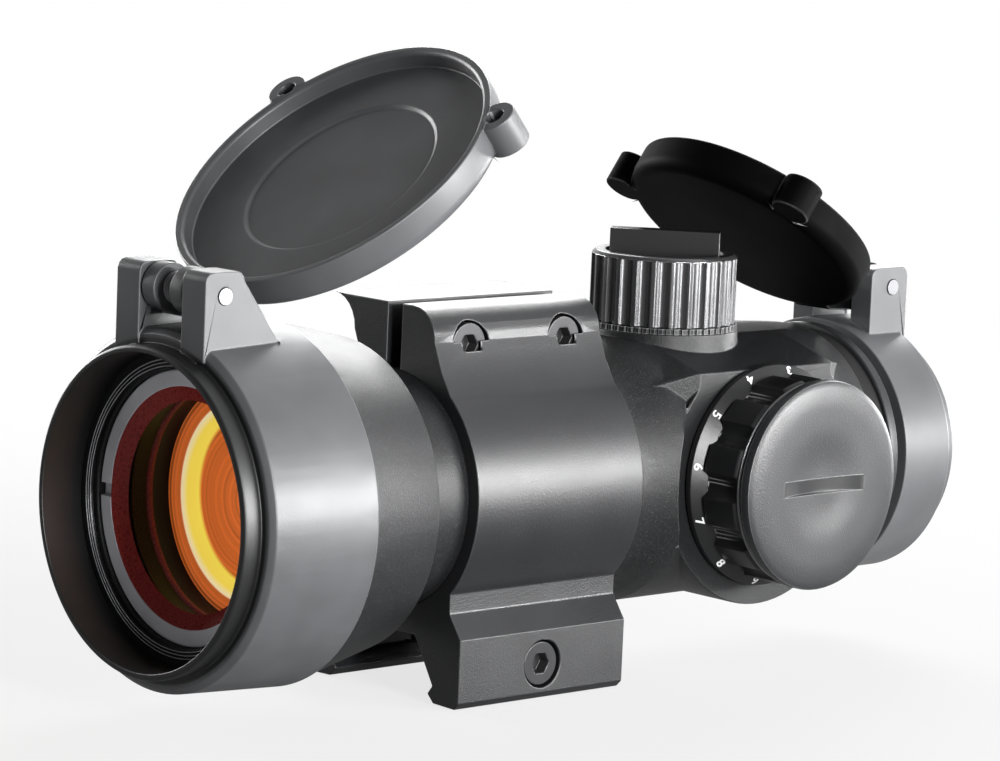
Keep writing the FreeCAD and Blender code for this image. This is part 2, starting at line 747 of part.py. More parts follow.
def turret(prefix, axis):
    """One adjustment turret, built upward from the optical axis and laid over for windage."""
    turn = AXIS_TURNS[axis]
    seat = "turret_seat + index_thickness"
    base = new_body(f"{prefix}_index_ring", x="turret_station", turn=turn)
    rod(base, "index_radius", "index_thickness", z="turret_seat")
    notch = rod(base, "index_notch_radius", "index_thickness + 2 * overcut", x="index_radius",
                z="turret_seat - overcut", cut=True)
    spun(base, notch, "index_notches")
    rod(base, "neck_radius", "neck_height", z=seat)
    rod(base, "adjuster_radius + fit", "neck_height + 2 * overcut", z="turret_seat - overcut", cut=True)
    rod(base, "adjuster_head_radius + gap", "neck_height + overcut", z=f"{seat} + index_counterbore",
        cut=True)

    head = f"{seat} + index_counterbore + fit"
    screw = new_body(f"{prefix}_screw", x="turret_station", turn=turn)
    rod(screw, "adjuster_radius", f"{head} - adjuster_foot", z="adjuster_foot")
    rod(screw, "adjuster_head_radius", "adjuster_head_height", z=head)
    block(screw, ("2 * (adjuster_head_radius + overcut)", "adjuster_slot", "adjuster_slot"),
          ("-adjuster_head_radius - overcut", "-adjuster_slot / 2",
           f"{head} + adjuster_head_height - adjuster_slot"), cut=True)
    rod(screw, "plunger_radius + fit", "plunger_length - overcut", z="adjuster_foot - overcut", cut=True)
    plunger = new_body(f"{prefix}_plunger", x="turret_station", turn=turn)
    rod(plunger, "plunger_radius", "plunger_length", z="carrier_radius + gap / 2")

    lift = f"{seat} + fit"
    roof_inside = f"{lift} + neck_height + cap_room"
    neck_hole = "neck_radius + ease"
    dish = f"{lift} + cap_height - cap_dish"
    cap = new_body(f"{prefix}_cap", x="turret_station", turn=turn)
    revolved_up(cap, [
        (lift, neck_hole),
        (lift, "cap_radius"),
        (f"{lift} + cap_height - cap_chamfer", "cap_radius"),
        (f"{lift} + cap_height", "cap_radius - cap_chamfer"),
        (f"{lift} + cap_height", "cap_rim"),
        (dish, "cap_rim - ease"),
        (dish, "0"),
        (roof_inside, "0"),
        (roof_inside, neck_hole),
    ])
    groove_top = f"{lift} + 2 * (seal_wire + ease)"
    revolved_up(cap, [
        (f"{lift} - overcut", "neck_radius + 2 * fit"),
        (f"{lift} - overcut", "neck_radius + 2 * seal_wire + gap"),
        (groove_top, "neck_radius + 2 * seal_wire + gap"),
        (groove_top, "neck_radius + 2 * fit"),
    ], cut=True)
    flute = rod(cap, "flute_radius", "cap_height", x="cap_radius + flute_radius - flute_depth",
                z=f"{lift} - cap_chamfer", cut=True)
    spun(cap, flute, "cap_flutes")
    block(cap, ("blade_length", "blade_width", "blade_height + cap_dish + fit"), (
        "-cos(blade_angle) * blade_length / 2 - sin(blade_angle) * blade_width / 2",
        "sin(blade_angle) * blade_length / 2 - cos(blade_angle) * blade_width / 2",
        f"{dish} - fit",
    ), turn=App.Rotation(Vector(0, 0, 1), -size("blade_angle")))
    seal = new_body(f"{prefix}_cap_seal", x="turret_station", turn=turn)
    torus(seal, f"{neck_hole} + seal_wire", "seal_wire", f"{lift} + ease + seal_wire")


def carrier():
    """The inner optical tube, its pivot ring and the emitter."""
    ring_back = "-pivot_station - pivot_ring_length / 2"
    ring = new_body("pivot_ring", x=ring_back)
    rod(ring, "pivot_ring_radius", "pivot_ring_length", axis="X")
    rod(ring, "carrier_radius + fit", "pivot_ring_length + 2 * overcut", x="-overcut", axis="X", cut=True)
    tube = new_body("optical_carrier", x=f"{ring_back} - carrier_front")
    length = f"carrier_back + carrier_front - ({ring_back})"
    rod(tube, "carrier_radius", length, axis="X")
    rod(tube, "carrier_radius - carrier_wall", f"{length} + 2 * overcut", x="-overcut", axis="X", cut=True)
    bracket = new_body("emitter_bracket", x="emitter_station - bracket_width / 2")
    inner = "(carrier_radius - carrier_wall)"
    block(bracket, ("bracket_width", "bracket_width", f"{inner} - emitter_radius + bite"),
          ("0", "-bracket_width / 2", f"-sqrt({inner} ^ 2 - bracket_width ^ 2 / 4)"))
    emitter = new_body("emitter", x="emitter_station - bracket_width / 2 - emitter_radius * 2")
    rod(emitter, "emitter_radius", "emitter_radius * 2", z=f"emitter_rise - {inner}", axis="X")
    spring = new_body("return_spring", x="turret_station", turn=App.Rotation(Vector(1, 0, 0), -45))
    block(spring, ("spring_length", "spring_width", "spring_thickness"),
          ("-spring_length / 2", "-spring_width / 2", "fit - sqrt(tube_bore ^ 2 - spring_width ^ 2 / 4)"))


def dial():
    """The brightness dial, its battery cap and what is inside, built outward from the tube's axis."""
    turn = AXIS_TURNS["-Y"]
    at = {"x": "dial_station", "turn": turn}
    foot = "side_width + gap"
    step = f"{foot} + dial_slope_height"
    top = f"{foot} + grip_height"
    floor = f"{foot} + dial_floor"
    skirt_hole = "cell_radius + coin_cap_wall + 2 * gap"
    knob = new_body("dial", **at)
    revolved_up(knob, [
        (foot, "0"),
        (foot, "dial_radius"),
        (f"{foot} + dial_edge", "dial_radius"),
        (step, "dial_slope_radius"),
        (step, "grip_radius"),
        (f"{top} - edge_break", "grip_radius"),
        (top, "grip_radius - edge_break"),
        (top, skirt_hole),
        (f"{top} - coin_cap_skirt - gap", skirt_hole),
        (f"{top} - coin_cap_skirt - gap", "cell_radius + gap"),
        (floor, "cell_radius + gap"),
        (floor, "0"),
    ])
    notch = rod(knob, "grip_notch_radius", "grip_height",
                x="grip_radius + grip_notch_radius - grip_notch_depth", z=step, cut=True)
    spun(knob, notch, "grip_notches")
    rod(knob, "spindle_radius", "spindle_length + overcut", z=f"{foot} - spindle_length")
    contact = new_body("cell_contact", **at)
    rod(contact, "cell_radius / 2", "contact_thickness", z=f"{floor} + fit")
    cell = new_body("coin_cell", **at)
    rod(cell, "cell_radius", "cell_thickness", z=f"{floor} + contact_thickness + 2 * fit")

    rest = f"{top} + coin_cap_gap"
    face = f"{rest} + coin_cap_thickness"
    cap = new_body("battery_cap", **at)
    revolved_up(cap, [
        (f"{top} - coin_cap_skirt", "cell_radius + gap"),
        (f"{top} - coin_cap_skirt", "cell_radius + coin_cap_wall + gap"),
        (rest, "cell_radius + coin_cap_wall + gap"),
        (rest, "coin_cap_radius"),
        (f"{face} - coin_cap_bevel", "coin_cap_radius"),
        (face, "coin_cap_radius - coin_cap_bevel"),
        (face, "coin_cap_dish_radius"),
        (f"{face} - coin_cap_dish", "0"),
        (rest, "0"),
        (rest, "cell_radius + gap"),
    ])
    rod(cap, "coin_slot_curve", "coin_slot_width", y="-coin_slot_width / 2",
        z=f"{face} + coin_slot_curve - coin_slot_depth", axis="Y", cut=True)
    seal = new_body("battery_cap_seal", **at)
    torus(seal, "cell_radius + coin_cap_wall + gap + fit + coin_seal_wire", "coin_seal_wire",
          f"{top} + coin_cap_gap / 2")

    board = new_body("switch_board", **at)
    rod(board, "board_radius", "board_thickness", z="side_width - board_pocket + fit")
    rod(board, "spindle_radius + gap", "board_thickness + 2 * overcut",
        z="side_width - board_pocket - overcut", cut=True)
    ball = new_body("detent_ball", x="dial_station", y="detent_radius + fit - side_width - gap",
                    z="axis_height + detent_reach")
    sphere = ball.newObject("PartDesign::AdditiveSphere", "detent_ball_sphere")
    bind(sphere, Radius="detent_radius")
    post = new_body("detent_spring", x="dial_station", y="detent_depth - fit - side_width",
                    z="axis_height + detent_reach", turn=turn)
    rod(post, "detent_radius - 3 * fit", "detent_depth + gap - 2 * detent_radius - 3 * fit")


def claw(side):
    """One side of the rail groove, from the skirt's outside corner up to the groove."""
    return [
        (f"{side} * base_half_width", "base_bevel - base_bottom"),
        (f"{side} * (base_half_width - base_bevel)", "-base_bottom"),
        (f"{side} * (groove_half_width + claw_lead)", "2 * fit - base_bottom"),
        (f"{side} * claw_half_width", "-claw_height"),
        (f"{side} * groove_half_width", "-groove_depth"),
    ]


def clamp():
    """The ring clamp, its screws, and the jaw that closes on the rail."""
    ring = new_body("ring_clamp")
    rod(ring, "ring_outer_radius", "clamp_length", x="-clamp_length / 2", axis="X")
    fillet_top = "(flange_height + ring_outer_radius) / 2 - fillet_drop"
    extruded(ring, both_sides([
        ("-fillet_half_width", "sqrt(ring_outer_radius ^ 2 - fillet_half_width ^ 2) - gap"),
        ("-flange_half_width - fillet_waist", fillet_top),
    ] + rounded("-flange_half_width", "flange_height", 1, -1, "flange_round", 6)), "clamp_length")
    base = [
        ("-waist_half_width", "waist_height - waist_foot"),
        ("-waist_half_width", "-waist_foot"),
        ("-base_half_width", "-base_top"),
    ] + claw(-1) + [
        ("-seat_half_width", "-axis_height"),
        ("seat_half_width", "-axis_height"),
        ("jaw_inner - jaw_notch", "jaw_notch_height - groove_depth"),
        ("jaw_inner - jaw_travel_room", "jaw_notch_height - groove_depth"),
        ("jaw_inner - jaw_travel_room", "-base_top"),
        ("base_half_width", "-base_top"),
        ("waist_half_width", "-waist_foot"),
        ("waist_half_width", "waist_height - waist_foot"),
    ]
    extruded(ring, base, "clamp_length")
    rod(ring, "tube_radius + fit / 2", "clamp_length + 2 * overcut", x="-clamp_length / 2 - overcut",
        axis="X", cut=True)
    block(ring, ("clamp_length + 2 * overcut", "2 * slit_half_width", "flange_height"),
          ("-clamp_length / 2 - overcut", "-slit_half_width", "tube_radius - slit_depth"), cut=True)
    sink = "(screw_head_height + screw_recess)"
    turn = AXIS_TURNS["-Y"]
    screws = (
        ("clamp_screw_1", "-screw_station", "screw_height", "flange_half_width", "screw_end_room"),
        ("clamp_screw_2", "screw_station", "screw_height", "flange_half_width", "screw_end_room"),
        ("cross_bolt", "0", "-bolt_height", "base_half_width", "0"),
    )
    for label, station, height, half_width, end_room in screws:
        rod(ring, "screw_head_radius + gap", sink, x=station, y=f"{sink} - {half_width}", z=height,
            axis="-Y", cut=True)
        rod(ring, "screw_radius + fit", f"2 * {half_width}", x=station, y=f"-{half_width} - edge_break",
            z=height, axis="Y", cut=True)
        cap_screw(label, station, f"{sink} - {half_width}", f"axis_height + {height}",
                  f"2 * {half_width} - {sink} - {end_room}", turn)

    jaw = new_body("rail_jaw")
    jaw_top = "-base_top - jaw_travel_room"
    extruded(jaw, [("jaw_inner", jaw_top), ("base_half_width", jaw_top)] + claw(1) + [
        ("jaw_inner", "base_bevel - groove_depth"),
    ], "clamp_length")
    nut_y = "base_half_width - nut_thickness"
    rod(jaw, "screw_radius + fit", "base_wall + 2 * overcut", y="jaw_inner - overcut", z="-bolt_height",
        axis="Y", cut=True)
    rod(jaw, "nut_radius + fit", "nut_thickness + overcut", y=nut_y, z="-bolt_height", axis="Y", cut=True)
    nut = new_body("cross_bolt_nut")
    rod(nut, "nut_radius", "nut_thickness", y=nut_y, z="-bolt_height", axis="Y")
    rod(nut, "screw_radius + fit", "nut_thickness + 2 * overcut", y=f"{nut_y} - overcut",
        z="-bolt_height", axis="Y", cut=True)


def cap_screw(label, x, y, z, length, turn):
    """A socket head screw whose head stands out of the seat at y, towards the dial's side."""
    screw = new_body(label, x=x, y=y, z=z, turn=turn)
    rod(screw, "screw_head_radius", "screw_head_height")
    rod(screw, "screw_radius", f"{length} + edge_break", z=f"-({length})")
    socket = [
        ("screw_socket_radius", "0"),
        ("screw_socket_radius / 2", "screw_socket_radius * sin(60)"),
        ("-screw_socket_radius / 2", "screw_socket_radius * sin(60)"),
        ("-screw_socket_radius", "0"),
        ("-screw_socket_radius / 2", "-screw_socket_radius * sin(60)"),
        ("screw_socket_radius / 2", "-screw_socket_radius * sin(60)"),
    ]
    extruded(screw, socket, "2 * screw_socket_depth", plane="XY_Plane", cut=True,
             shift=("0", "0", "screw_head_height"))


main_housing()
optics()
cover("front", "-front_reach", 1)
cover("rear", "rear_reach", -1)
turret("elevation", "Z")
turret("windage", "Y")
carrier()
dial()
clamp()
doc.recompute()

for item in doc.Objects:
    if "Invalid" in item.State or "Error" in item.State:
        raise RuntimeError(f"{item.Label} failed: {item.State}")

os.makedirs("parts", exist_ok=True)
for item in SUB_PARTS:
    if item.Shape.isNull() or not item.Shape.isValid():
        raise RuntimeError(f"{item.Label} has no valid shape")
for item in SUB_PARTS:
    item.Shape.exportStep(f"parts/{item.Label}.step")
    box = item.Shape.BoundBox
    print(f"{item.Label:20s} solids {len(item.Shape.Solids)} volume {item.Shape.Volume:9.2f} "
          f"x {box.XMin:7.2f} {box.XMax:7.2f} y {box.YMin:7.2f} {box.YMax:7.2f} "
          f"z {box.ZMin:7.2f} {box.ZMax:7.2f}")
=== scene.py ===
import json
import math
import typing

import bmesh
import bpy
from bpy.props import FloatProperty, FloatVectorProperty, IntProperty, PointerProperty
from mathutils import Matrix, Vector


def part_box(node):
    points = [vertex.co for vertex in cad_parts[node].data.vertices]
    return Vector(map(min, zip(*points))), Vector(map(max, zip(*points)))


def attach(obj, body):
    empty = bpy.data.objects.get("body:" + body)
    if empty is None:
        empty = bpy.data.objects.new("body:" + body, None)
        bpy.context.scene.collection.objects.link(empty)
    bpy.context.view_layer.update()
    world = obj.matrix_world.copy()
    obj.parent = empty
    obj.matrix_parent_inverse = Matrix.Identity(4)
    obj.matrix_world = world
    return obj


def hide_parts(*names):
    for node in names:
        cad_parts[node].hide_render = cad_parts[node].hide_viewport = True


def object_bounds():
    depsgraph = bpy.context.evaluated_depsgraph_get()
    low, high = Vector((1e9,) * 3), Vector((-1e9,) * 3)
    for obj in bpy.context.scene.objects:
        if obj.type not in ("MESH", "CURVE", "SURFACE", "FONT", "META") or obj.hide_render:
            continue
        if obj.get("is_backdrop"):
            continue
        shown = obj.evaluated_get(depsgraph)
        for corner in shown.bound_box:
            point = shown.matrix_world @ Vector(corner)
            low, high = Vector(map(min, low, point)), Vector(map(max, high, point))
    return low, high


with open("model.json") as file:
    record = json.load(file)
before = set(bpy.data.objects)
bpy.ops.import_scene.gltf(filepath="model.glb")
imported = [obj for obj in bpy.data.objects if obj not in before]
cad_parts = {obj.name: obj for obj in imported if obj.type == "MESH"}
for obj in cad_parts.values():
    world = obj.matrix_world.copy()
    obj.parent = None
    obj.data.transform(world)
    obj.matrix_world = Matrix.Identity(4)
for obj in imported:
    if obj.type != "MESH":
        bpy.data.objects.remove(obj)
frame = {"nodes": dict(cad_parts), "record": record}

bl_info = {
    "name": "Red dot sight looks",
    "version": (1, 0, 0),
    "blender": (4, 5, 0),
    "location": "View3D > Sidebar > Sight",
    "description": "Finishes, numerals, glass, light and camera for a tube red dot sight",
    "category": "Object",
}

NODES = frame["nodes"]
SLOTS = {part["node"]: part["material_slot"] for part in frame["record"]["subparts"]}
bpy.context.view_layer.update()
MM = 0.001


def middle(node):
    """The centre of a CAD node's box."""
    low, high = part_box(node)
    return (low + high) / 2


TUBE_CENTRE = Vector((0, 0, middle("lock_ring").z))
CREASE = math.radians(30)        # faces that meet at more than this keep a sharp edge


# ---------------------------------------------------------------- settings

FINISH_VALUES = {
    "speckle": (0.0, "How much lighter the raised grains are"),
    "grain_size": (0.3, "Width of one grain, in millimetres"),
    "grain_depth": (0.02, "Height of the grain, in millimetres"),
    # Lighter edges: partly wear, partly painted highlight along the edges.
    "edge_light": (0.0, "How much the worn edges are lighter"),
    "edge_width": (0.15, "Width of the worn edges, in millimetres"),
    "metal": (0.0, "Share of bare metal in the surface"),
    "gloss": (0.5, "Strength of the clear reflection"),
    "mottle": (0.15, "Slow change of tone over the surface"),
    # In the front collar this dark core is painted shade inside its bore.
    "hollow": (0.0, "Inside this distance from the piece's axis the surface is dark, in millimetres"),
}


def finish_group(title, colour, roughness, **changed):
    """A PropertyGroup for one finish, with its own defaults."""
    fields = {
        "colour": FloatVectorProperty(name="Colour", description=f"Base colour of the {title}",
                                      subtype="COLOR", size=3, min=0, max=1, default=colour),
        "roughness": FloatProperty(name="Roughness", description=f"Roughness of the {title}",
                                   subtype="FACTOR", min=0, max=1, default=roughness),
    }
    for key, (usual, note) in FINISH_VALUES.items():
        fields[key] = FloatProperty(name=key.replace("_", " ").capitalize(), description=note,
                                    default=changed.get(key, usual))
    class_name = "".join(word.capitalize() for word in title.split()) + "Finish"
    return type(class_name, (bpy.types.PropertyGroup,),
                {"__annotations__": fields, "__doc__": f"Finish of the {title}."})


FINISHES = {
    "cover_plastic": finish_group(
        "covers", (0.07, 0.072, 0.076), 0.42, grain_size=0.16, edge_light=0.35, edge_width=0.2, gloss=0.6),
    # The front collar's dark core inside its bore is painted shade.
    "collar_plastic": finish_group(
        "front collar", (0.07, 0.072, 0.076), 0.42, grain_size=0.16, edge_light=0.35, edge_width=0.2,
        gloss=0.6, hollow=20.8),
    # The rear lid is the covers' black plastic darkened and dulled further: painted shade over the whole lid.
    "lid_plastic": finish_group(
        "rear lid", (0.0015, 0.0015, 0.0017), 0.55, grain_size=0.14, grain_depth=0.006, edge_light=0.4,
        edge_width=0.3, gloss=0.03),
    "housing_metal": finish_group(
        "housing", (0.009, 0.0094, 0.0102), 0.42, grain_size=0.16, grain_depth=0.07, speckle=0.05,
        edge_light=0.25, edge_width=0.25, gloss=0.38),
    "clamp_metal": finish_group(
        "ring clamp", (0.009, 0.0094, 0.0105), 0.37, grain_size=0.16, grain_depth=0.05, speckle=0.014,
        edge_light=0.3, edge_width=0.2, gloss=0.62),
    "turret_metal": finish_group(
        "turret caps", (0.17, 0.17, 0.174), 0.24, grain_size=0.15, grain_depth=0.004, edge_light=0.6,
        metal=0.85, hollow=7.7),
    "knob_metal": finish_group(
        "knobs", (0.01, 0.0102, 0.011), 0.32, grain_size=0.15, grain_depth=0.01, edge_light=0.35, gloss=0.45),
    "cap_metal": finish_group(
        "battery cap", (0.018, 0.0186, 0.02), 0.38, grain_size=0.2, grain_depth=0.05, speckle=0.02,
        edge_light=0.4),
    # The objective ring's grey metal, made twice as light as the other lens rings: the extra lightness is
    # painted light in the collar's shade.
    "lens_ring_metal": finish_group(
        "objective ring", (0.6, 0.6, 0.64), 0.35, grain_depth=0.004, edge_light=0.3, edge_width=0.12,
        metal=0.1),
    "ring_metal": finish_group(
        "lens rings", (0.30, 0.30, 0.325), 0.4, grain_depth=0.004, edge_light=0.4, edge_width=0.12,
        metal=0.2),
    "steel": finish_group(
        "pins and springs", (0.2, 0.2, 0.21), 0.35, grain_size=0.2, grain_depth=0.003, edge_light=0.3,
        edge_width=0.1, metal=0.6),
    "screw_steel": finish_group(
        "screws", (0.04, 0.04, 0.042), 0.3, grain_size=0.15, grain_depth=0.004, edge_light=0.4,
        edge_width=0.12, metal=0.3),
    "rubber": finish_group("seals", (0.008, 0.008, 0.008), 0.6, grain_size=0.2, grain_depth=0.01, gloss=0.3),
    "board": finish_group("circuit board", (0.02, 0.12, 0.05), 0.4, grain_size=0.4, grain_depth=0.01),
    "emitter_plastic": finish_group("emitter", (0.7, 0.05, 0.03), 0.2, grain_size=0.4, grain_depth=0.002),
}


class GlassSettings(bpy.types.PropertyGroup):
    """Colours of the coated objective and of the red bands ahead of it."""
    coating: FloatVectorProperty(name="Coating",
                                 description="Colour that the objective's coating throws back",
                                 subtype="COLOR", size=3, min=0, max=1, default=(0.62, 0.13, 0.02))
    # The bright ring colour is the colour of a painted reflection near the objective's rim.
    ring: FloatVectorProperty(name="Bright ring", description="Colour of the ring near the objective's rim",
                              subtype="COLOR", size=3, min=0, max=1, default=(1.0, 0.75, 0.09))
    baffle: FloatVectorProperty(name="Baffle", description="Colour of the red band ahead of the objective",
                                subtype="COLOR", size=3, min=0, max=1, default=(0.13, 0.012, 0.01))


class CoinCapSettings(bpy.types.PropertyGroup):
    """The slotted cap over the battery."""
    slot_length: FloatProperty(name="Slot length", description="Length of the coin slot at the face",
                               unit="LENGTH", default=0.0146)
    slot_width: FloatProperty(name="Slot width", description="Width of the coin slot",
                              unit="LENGTH", default=0.002)
    slot_depth: FloatProperty(name="Slot depth", description="Depth of the coin slot at its middle",
                              unit="LENGTH", default=0.0016)
    dish: FloatProperty(name="Dish", description="Depth of the shallow dish in the face",
                        unit="LENGTH", default=0.00035)
    seal_gap: FloatProperty(name="Seal gap", description="From the dial's front to the cap's rim",
                            unit="LENGTH", default=0.001)
    skirt: FloatProperty(name="Skirt radius", description="Outside radius of the skirt inside the dial",
                         unit="LENGTH", default=0.0113)


class NumeralSettings(bpy.types.PropertyGroup):
    """The numbers round the brightness dial."""
    count: IntProperty(name="Count", description="How many positions the dial has", min=2, max=24, default=12)
    height: FloatProperty(name="Height", description="Line height of a number", unit="LENGTH", default=0.0016)
    stretch: FloatProperty(name="Stretch", description="How much wider a number is than its font's",
                           default=1.25)
    start: FloatProperty(name="Start", description="Where the number nought stands, from straight up",
                         unit="ROTATION", subtype="ANGLE", default=math.radians(99))
    radius: FloatProperty(name="Radius", description="From the dial's axis to the middle of a number",
                          unit="LENGTH", default=0.01385)
    ring_drop: FloatProperty(name="Ring drop",
                             description="From the dial's front to the middle of its printed slope",
                             unit="LENGTH", default=0.00668)
    slope: FloatProperty(name="Slope", description="How far the printed slope leans back",
                         unit="ROTATION", subtype="ANGLE", default=math.atan2(1.3, 2.0))
    ink: FloatVectorProperty(name="Ink", description="Colour of the numbers",
                             subtype="COLOR", size=3, min=0, max=1, default=(0.8, 0.8, 0.8))


class StageSettings(bpy.types.PropertyGroup):
    """Camera and floor."""
    azimuth: FloatProperty(name="Azimuth", description="Where the camera stands round the sight",
                           subtype="ANGLE", unit="ROTATION", default=math.radians(-42.62))
    elevation: FloatProperty(name="Elevation", description="How far the camera is above the horizon",
                             subtype="ANGLE", unit="ROTATION", default=math.radians(7.93))
    roll: FloatProperty(name="Roll", description="How far the camera is tipped about its view",
                        subtype="ANGLE", unit="ROTATION", default=math.radians(2.43))
    distance: FloatProperty(name="Distance", description="From the camera to the point that it looks at",
                            unit="LENGTH", default=0.56295)
    lens: FloatProperty(name="Lens", description="Focal length in millimetres", default=159.4)
    target: FloatVectorProperty(name="Target",
                                description="The point looked at, from the tube's axis over the seat",
                                unit="LENGTH", size=3, default=(0.00418, 0.0, 0.01234))
    floor: FloatVectorProperty(name="Floor", description="Colour of the floor",
                               subtype="COLOR", size=3, min=0, max=1, default=(0.5, 0.5, 0.5))


class Softbox(typing.NamedTuple):
    """A lamp round the sight: degrees round and up, then metres, then watts."""
    name: str
    azimuth: float
    elevation: float
    distance: float
    width: float
    height: float
    watts: float


SOFTBOXES = (
    Softbox("side_softbox", 30, 6, 0.50, 0.26, 0.08, 4.2),
    Softbox("back_softbox", 128, 31, 0.45, 0.30, 0.16, 2.2),
    Softbox("low_softbox", 82, 2, 0.45, 0.14, 0.06, 1.2),
    Softbox("front_softbox", -14, 10, 0.50, 0.10, 0.22, 3.0),
    Softbox("far_softbox", 188, 12, 0.55, 0.30, 0.16, 2.4),
)


# ---------------------------------------------------------------- materials

class Tree:
    """A short way to write a material's nodes."""

    def __init__(self, name):
        self.material = bpy.data.materials.new(name)
        self.material.use_nodes = True
        self.nodes = self.material.node_tree.nodes
        self.links = self.material.node_tree.links
        self.shader = self.nodes["Principled BSDF"]

    def add(self, kind, inputs=None, **settings):
        node = self.nodes.new(kind)
        for key, value in settings.items():
            setattr(node, key, value)
        for key, value in (inputs or {}).items():
            self.put(node.inputs[key], value)
        return node

    def put(self, socket, value):
        if isinstance(value, bpy.types.NodeSocket):
            self.links.new(value, socket)
        else:
            socket.default_value = value

    def paint(self, tone, roughness):
        """Link the shader's colour and roughness."""
        self.put(self.shader.inputs["Base Color"], tone)
        self.put(self.shader.inputs["Roughness"], roughness)

    def place(self):
        return self.add("ShaderNodeTexCoord").outputs["Object"]

    def along(self, place):
        """How far along the tube a point is."""
        return self.add("ShaderNodeSeparateXYZ", {0: place}).outputs["X"]

    def noise(self, vector, size, detail=2.0):
        """Noise whose features are about this wide, in metres."""
        node = self.add("ShaderNodeTexNoise", {"Vector": vector, "Scale": 1 / size, "Detail": detail})
        return node.outputs["Fac"]

    def ramp(self, value, low, high, out_low=0.0, out_high=1.0):
        node = self.add("ShaderNodeMapRange", {"Value": value, "From Min": low, "From Max": high,
                                               "To Min": out_low, "To Max": out_high})
        return node.outputs["Result"]

    def spread(self, noise, out_low=0.0, out_high=1.0):
        """Noise mostly lies between 0.3 and 0.7; this stretches it over a range."""
        return self.ramp(noise, 0.3, 0.7, out_low, out_high)

    def mix(self, share, first, second):
        node = self.add("ShaderNodeMix", data_type="RGBA")
        for socket, value in zip((node.inputs[0], node.inputs[6], node.inputs[7]), (share, first, second)):
            self.put(socket, value)
        return node.outputs[2]

    def math(self, operation, first, second=0.0):
        return self.add("ShaderNodeMath", {0: first, 1: second}, operation=operation).outputs[0]


def reach_from(tree, place, centre, along="X"):
    """How far a point is from a line through a centre, along an axis."""
    off = tree.add("ShaderNodeVectorMath", {0: place, 1: centre}, operation="SUBTRACT").outputs["Vector"]
    mask = [float(axis != along) for axis in "XYZ"]
    across = tree.add("ShaderNodeVectorMath", {0: off, 1: mask}, operation="MULTIPLY").outputs["Vector"]
    return tree.add("ShaderNodeVectorMath", {0: across}, operation="LENGTH").outputs["Value"]


def rgba(colour, scale=1.0):
    return tuple(min(1.0, part * scale) for part in colour) + (1.0,)


def lighter(colour, lift):
    return rgba([part + lift for part in colour])


def worn_edges(tree, width, mottle):
    """1 on sharp edges, where a rounded normal leaves the true one, and broken up by the mottle."""
    rounded = tree.add("ShaderNodeBevel", {"Radius": width}, samples=4).outputs["Normal"]
    true = tree.add("ShaderNodeNewGeometry").outputs["Normal"]
    turn = tree.add("ShaderNodeVectorMath", {0: rounded, 1: true}, operation="DOT_PRODUCT").outputs["Value"]
    flat, sharp = 0.985, 0.8        # how far the two normals agree
    return tree.math("MULTIPLY", tree.ramp(turn, flat, sharp), tree.ramp(mottle, 0.25, 0.6, 0.4, 1.0))


def finish_material(name, look, centre, along):
    """Grained, slightly mottled surface with lighter worn edges and, if hollow, a dark core round a line."""
    tree = Tree(name)
    place = tree.place()
    grain = tree.noise(place, look.grain_size * MM, 3.0)
    mottle = tree.noise(place, 9 * MM)
    tone = tree.mix(tree.spread(mottle), rgba(look.colour, 1 - look.mottle),
                    rgba(look.colour, 1 + look.mottle))
    if look.speckle:
        tone = tree.mix(tree.ramp(grain, 0.56, 0.78), tone, lighter(look.colour, look.speckle))
    if look.edge_light:
        # Edges painted lighter, partly wear and partly painted highlight.
        worn = worn_edges(tree, look.edge_width * MM, mottle)
        tone = tree.mix(worn, tone, lighter(look.colour, look.edge_light))
    metal = look.metal
    # Dark core round the axis; in the front collar it is painted shade inside the bore.
    if look.hollow:
        soft_edge = 0.15
        inside = tree.ramp(reach_from(tree, place, centre, along), (look.hollow + soft_edge) * MM,
                           (look.hollow - soft_edge) * MM)
        tone = tree.mix(inside, tone, rgba(look.colour, 0.12))
        if metal:
            metal = tree.ramp(inside, 0, 1, metal, 0.0)
    tree.paint(tone, tree.spread(tree.noise(place, 6 * MM), look.roughness - 0.02, look.roughness + 0.02))
    tree.put(tree.shader.inputs["Metallic"], metal)
    tree.shader.inputs["Specular IOR Level"].default_value = look.gloss
    bump = tree.add("ShaderNodeBump", {"Height": grain, "Strength": 0.6, "Distance": look.grain_depth * MM})
    tree.put(tree.shader.inputs["Normal"], bump.outputs["Normal"])
    return tree.material


def finish_for(slot, label="", centre=TUBE_CENTRE, along="X"):
    """The material of a finish, made once for each label."""
    name = f"{label or slot}_finish"
    look = getattr(bpy.context.scene, f"sight_{slot}")
    return bpy.data.materials.get(name) or finish_material(name, look, centre, along)


def dress(node, material):
    """Give a CAD node a material."""
    mesh = NODES[node].data
    mesh.materials.clear()
    mesh.materials.append(material)


# ---------------------------------------------------------------- meshes

def smooth_shading():
    """A node group that shades every face smooth, made once."""
    group = bpy.data.node_groups.get("smooth_shading")
    if group:
        return group
    group = bpy.data.node_groups.new("smooth_shading", "GeometryNodeTree")
    for way in ("INPUT", "OUTPUT"):
        group.interface.new_socket("Geometry", in_out=way, socket_type="NodeSocketGeometry")
    kinds = ("NodeGroupInput", "GeometryNodeSetShadeSmooth", "NodeGroupOutput")
    chain = [group.nodes.new(kind) for kind in kinds]
    for first, second in zip(chain, chain[1:]):
        group.links.new(first.outputs[0], second.inputs[0])
    return group


